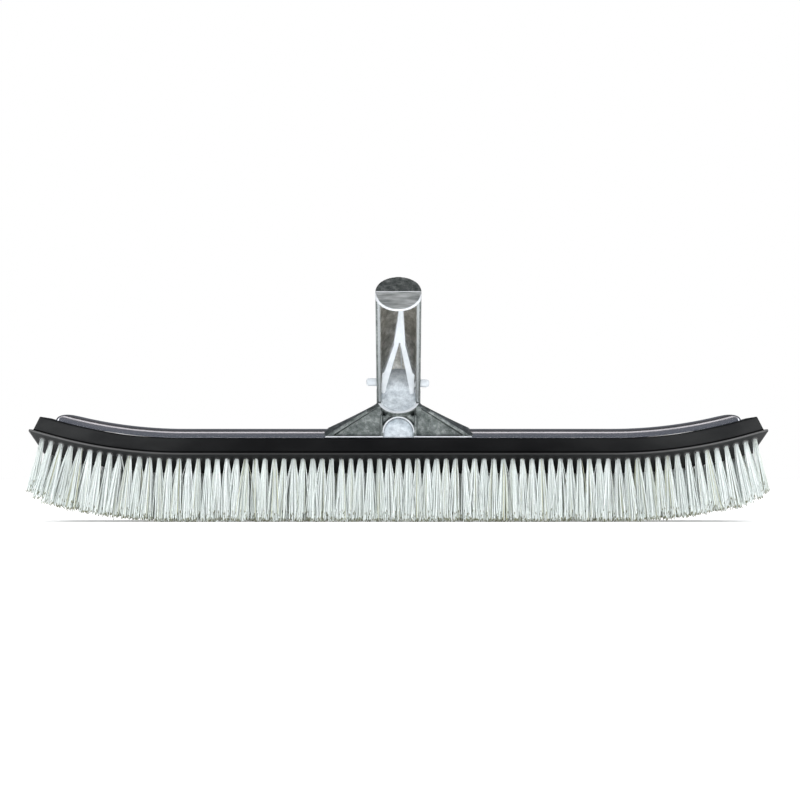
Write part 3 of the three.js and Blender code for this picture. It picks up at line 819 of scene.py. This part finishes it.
def tuft_places(row):
    """Arc lengths of a row's tufts, leaving out those that a screw head takes."""
    last = (row["tufts"] - 1) / 2 * TUFT_PITCH
    places = np.linspace(-last, last, row["tufts"])
    if row["y"] == 0:
        places = [s for s in places if all(abs(s - at) >= TUFT_PITCH for _, at in SCREWS)]
    return places


def make_sockets(material):
    """The raised rim round each tuft's hole."""
    rim = [(1.45, -0.5), (1.45, 0.2), (1.6, 0.36), (1.85, 0.36), (2.15, 0.14), (2.25, -0.3)]
    points, faces = [], []
    for row in ROWS:
        out, rise = row["faces"]
        for s in tuft_places(row):
            _, up = frame_at(s)
            axis = np.array([0, 1, 0]) * out + up * rise
            ring, sides = revolve(rim, on_curve(s, row["y"], row["h"]), axis, 14)
            faces += [tuple(i + len(points) for i in side) for side in sides]
            points += ring
    sockets = mesh_object("tuft_sockets", points, faces)
    smooth_by_angle(sockets, 50)
    # painted highlight on the socket rims
    set_attribute(sockets, "painted_highlight", np.full(len(points), 0.8))
    finish_piece(sockets, BODY, material, "black_plastic")


def trimmed_height(s):
    """Height of the trimmed tips at arc length s, with the ends trimmed round."""
    start = (ROWS[0]["tufts"] - 1) / 2 * TUFT_PITCH + 1.5 - TRIM_LENGTH
    return -TOP_Z + TRIM_RISE * np.clip((np.abs(s) - start) / TRIM_LENGTH, 0, 1.2) ** 2


def make_row(index, row, material):
    """One row of tufts, each a bundle of thin filaments that spread towards the tips."""
    draw = np.random.RandomState(SEED + index)
    side_out = math.copysign(1, row["lean"])
    across = np.array([0, side_out, 0])
    strands, tones_and_shades, end_shades = [], [], []
    places = tuft_places(row)
    last = places[-1]
    for s in places:
        tangent, up = frame_at(s, TUFT_FOLLOW)
        lean = math.radians(abs(row["lean"]) + draw.normal(0, 1.2))
        slant = math.radians(draw.normal(0, 1.6))
        down = across * math.sin(lean) - up * math.cos(lean) + tangent * math.sin(slant)
        spread = across * math.cos(lean) + up * math.sin(lean)
        root = on_curve(s, row["y"], row["h"]) / MM
        length = (row["h"] - trimmed_height(s)) / math.cos(lean)

        radius = TUFT_ROOT * np.sqrt(draw.uniform(0, 1, FILAMENTS))
        around = draw.uniform(0, 2 * math.pi, FILAMENTS)
        root_at = radius[:, None] * np.stack([np.cos(around), np.sin(around)], -1)
        loose = draw.uniform(0, 1, (FILAMENTS, 1)) < LOOSE_SHARE
        tip_at = root_at * TUFT_FLARE + draw.normal(0, 1, (FILAMENTS, 2)) * np.where(loose, 2.4, 0.8)
        bow = draw.normal(0, 1, (FILAMENTS, 2)) * np.where(loose, 0.7, 0.25)
        if abs(s) > last - 1.5 * TUFT_PITCH:
            outward = tip_at[:, 0] * np.sign(s) > 0
            tip_at[outward, 0] *= END_SPREAD
        cut = np.where(
            draw.uniform(0, 1, FILAMENTS) < SHORT_SHARE,
            SHORTEST * draw.uniform(0, 1, FILAMENTS),
            draw.uniform(0.0, 1.6, FILAMENTS),
        )
        full = length - cut
        steps = np.stack([*(full * share for share in STATIONS), full - CUT_END, full])
        twist = draw.uniform(0, 2 * math.pi, FILAMENTS)
        rings = []
        for reach in steps:
            share = (reach / full)[:, None]
            aside = root_at + (tip_at - root_at) * share**0.85 + bow * np.sin(math.pi * share)
            middle = root + np.outer(reach - ROOT_DEPTH * (1 - share[:, 0]), down)
            middle = middle + np.outer(aside[:, 0], tangent) + np.outer(aside[:, 1], spread)
            for j in range(SIDES):
                turn = twist + 2 * math.pi * j / SIDES
                rings.append(
                    middle
                    + np.outer(np.cos(turn) * FILAMENT_RADIUS, tangent)
                    + np.outer(np.sin(turn) * FILAMENT_RADIUS, spread)
                )
        strands.append(np.stack(rings, 1))
        # painted shade: the inner rows get lower values, painted darker and more olive
        pale = 1.0 if abs(row["lean"]) > OUTER_LEAN else INNER_ROW_SHADE
        tones_and_shades.append(np.clip(draw.beta(1.8, 1.05, FILAMENTS) * pale + draw.normal(0, 0.05), 0, 1))
        end_shades.append(draw.uniform(0, 1, FILAMENTS))
    points = np.concatenate(strands)
    points[:, :, 2] = np.maximum(points[:, :, 2], 0.02)
    made = strand_mesh(f"bristles_{index + 1}", points * MM)
    ends = np.zeros(points.shape[:2])
    ends[:, -SIDES:] = np.concatenate(end_shades)[:, None]
    tone_and_shade = np.repeat(np.concatenate(tones_and_shades), points.shape[1])
    set_attribute(made, "tone_and_shade", tone_and_shade)
    set_attribute(made, "end", ends.ravel())
    finish_piece(made, BODY, material, "bristle", f"bristle_row_{index + 1}")


def strand_mesh(name, points):
    """Closed strands from an array of (strand, ring by ring, xyz) points."""
    strands, per = points.shape[:2]
    first = np.arange(strands)[:, None] * per
    sides = [
        (k + j, k + (j + 1) % SIDES, k + SIDES + (j + 1) % SIDES, k + SIDES + j)
        for k in range(0, per - SIDES, SIDES)
        for j in range(SIDES)
    ]
    quads = (first[:, :, None] + np.array(sides)[None]).reshape(-1, 4)
    caps = np.array([range(SIDES)[::-1], range(per - SIDES, per)])
    caps = (first[:, :, None] + caps[None]).reshape(-1, SIDES)
    data = bpy.data.meshes.new(name)
    data.vertices.add(strands * per)
    data.vertices.foreach_set("co", points.astype(np.float32).ravel())
    corners = np.concatenate([quads.ravel(), caps.ravel()])
    totals = np.concatenate([np.full(len(quads), 4), np.full(len(caps), SIDES)])
    starts = np.concatenate([[0], np.cumsum(totals)[:-1]])
    data.loops.add(len(corners))
    data.loops.foreach_set("vertex_index", corners.astype(np.int32))
    data.polygons.add(len(totals))
    data.polygons.foreach_set("loop_start", starts.astype(np.int32))
    data.polygons.foreach_set("use_smooth", np.ones(len(totals), bool))
    data.update(calc_edges=True)
    data.validate()
    made = bpy.data.objects.new(name, data)
    bpy.context.scene.collection.objects.link(made)
    return made


# --- Handle casting --------------------------------------------------------------------


def make_casting(material):
    """The casting with the small round edges and the slightly uneven skin that casting gives."""
    casting = bpy.data.objects.new("casting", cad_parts["handle_casting"].data.copy())
    bpy.context.scene.collection.objects.link(casting)
    round_over(casting, CASTING_VOXEL, 2)
    finish_piece(casting, BODY, material, "cast_aluminium", "handle_casting")


# --- Spring clip -----------------------------------------------------------------------


def spigot_point(x, y, z):
    """A point given in the spigot's own frame, in metres."""
    lean = Matrix.Rotation(SPIGOT_LEAN, 4, "X")
    return (lean @ Vector((x, y, z)) + Vector((0, SPIGOT_Y, SPIGOT_Z))) * MM


def make_clip(material):
    """The nylon clip as one smooth moulding, parted down its middle into a left and a right half."""
    parts = [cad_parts[n] for n in ("clip_crown", "clip_leg_left", "clip_leg_right")]
    points, faces = [], []
    for part in parts:
        faces += [tuple(i + len(points) for i in p.vertices) for p in part.data.polygons]
        points += [v.co.copy() for v in part.data.vertices]
    for side in (-1, 1):
        bridge, sides = clip_bridge(side)
        faces += [tuple(i + len(points) for i in p) for p in sides]
        points += bridge
    clip = mesh_object("clip", points, faces)
    clip.data.transform(clip_tilt())
    round_over(clip, CLIP_VOXEL, 8)
    for side, word in ((-1, "left"), (1, "right")):
        half = bpy.data.objects.new(f"clip_{word}", clip.data.copy())
        bpy.context.scene.collection.objects.link(half)
        keep_side(half, side)
        half.data.materials.clear()
        half.data.materials.append(material)
        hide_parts(f"clip_leg_{word}", "clip_crown")
        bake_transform(half)
    bpy.data.objects.remove(clip)


def clip_tilt():
    """The clip sits a little askew in the trough: its stem leans to +X."""
    pivot = Matrix.Translation(spigot_point(0, 0, CLIP_PIVOT))
    lean = Matrix.Rotation(SPIGOT_LEAN, 4, "X")
    return pivot @ lean @ Matrix.Rotation(CLIP_SKEW, 4, "Y") @ lean.inverted() @ pivot.inverted()


def clip_bridge(side):
    """A block over one flex point that joins the crown to the leg."""
    low_x, high_x = 0.5, 3.3
    corners = [
        spigot_point(side * x, y, z)
        for z in (FLEX_Z - 1.5, FLEX_Z + 3)
        for y in (-1.5, 3.5)
        for x in (low_x, high_x)
    ]
    faces = [(0, 2, 3, 1), (4, 5, 7, 6), (0, 1, 5, 4), (2, 6, 7, 3), (0, 4, 6, 2), (1, 3, 7, 5)]
    if side < 0:
        faces = [face[::-1] for face in faces]
    return corners, faces


def keep_side(made, side):
    """Cuts a mesh at x = 0 and keeps one side, closed."""
    mesh = bmesh.new()
    mesh.from_mesh(made.data)
    geometry = mesh.verts[:] + mesh.edges[:] + mesh.faces[:]
    cut = bmesh.ops.bisect_plane(
        mesh, geom=geometry, plane_co=(0, 0, 0), plane_no=(-side, 0, 0), clear_outer=True
    )
    edges = [e for e in cut["geom_cut"] if isinstance(e, bmesh.types.BMEdge)]
    filled = bmesh.ops.triangle_fill(mesh, edges=edges, use_beauty=True)
    bmesh.ops.recalc_face_normals(mesh, faces=mesh.faces)
    for edge in edges:
        if edge.is_valid:
            edge.smooth = False
    for face in filled["geom"]:
        if isinstance(face, bmesh.types.BMFace):
            face.smooth = False
    mesh.to_mesh(made.data)
    mesh.free()


# --- Screws ----------------------------------------------------------------------------


def dress_screws(material):
    """The CAD screws keep their shape and get fine round edges."""
    for name, _ in SCREWS:
        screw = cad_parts[name]
        edge = screw.modifiers.new("edge", "BEVEL")
        edge.width = 0.15 * MM
        edge.segments = 2
        edge.limit_method = "ANGLE"
        screw.data.materials.clear()
        screw.data.materials.append(material)


# --- The scene -------------------------------------------------------------------------

make_camera()
make_world()
make_lights()
make_floor()

plastic = black_plastic()
filament = bristle_filament()
make_block(plastic)
make_sockets(plastic)
make_rail(polished_aluminium())
for number, bristle_row in enumerate(ROWS):
    make_row(number, bristle_row, filament)
make_casting(cast_aluminium())
make_clip(white_nylon())
dress_screws(stainless_steel())
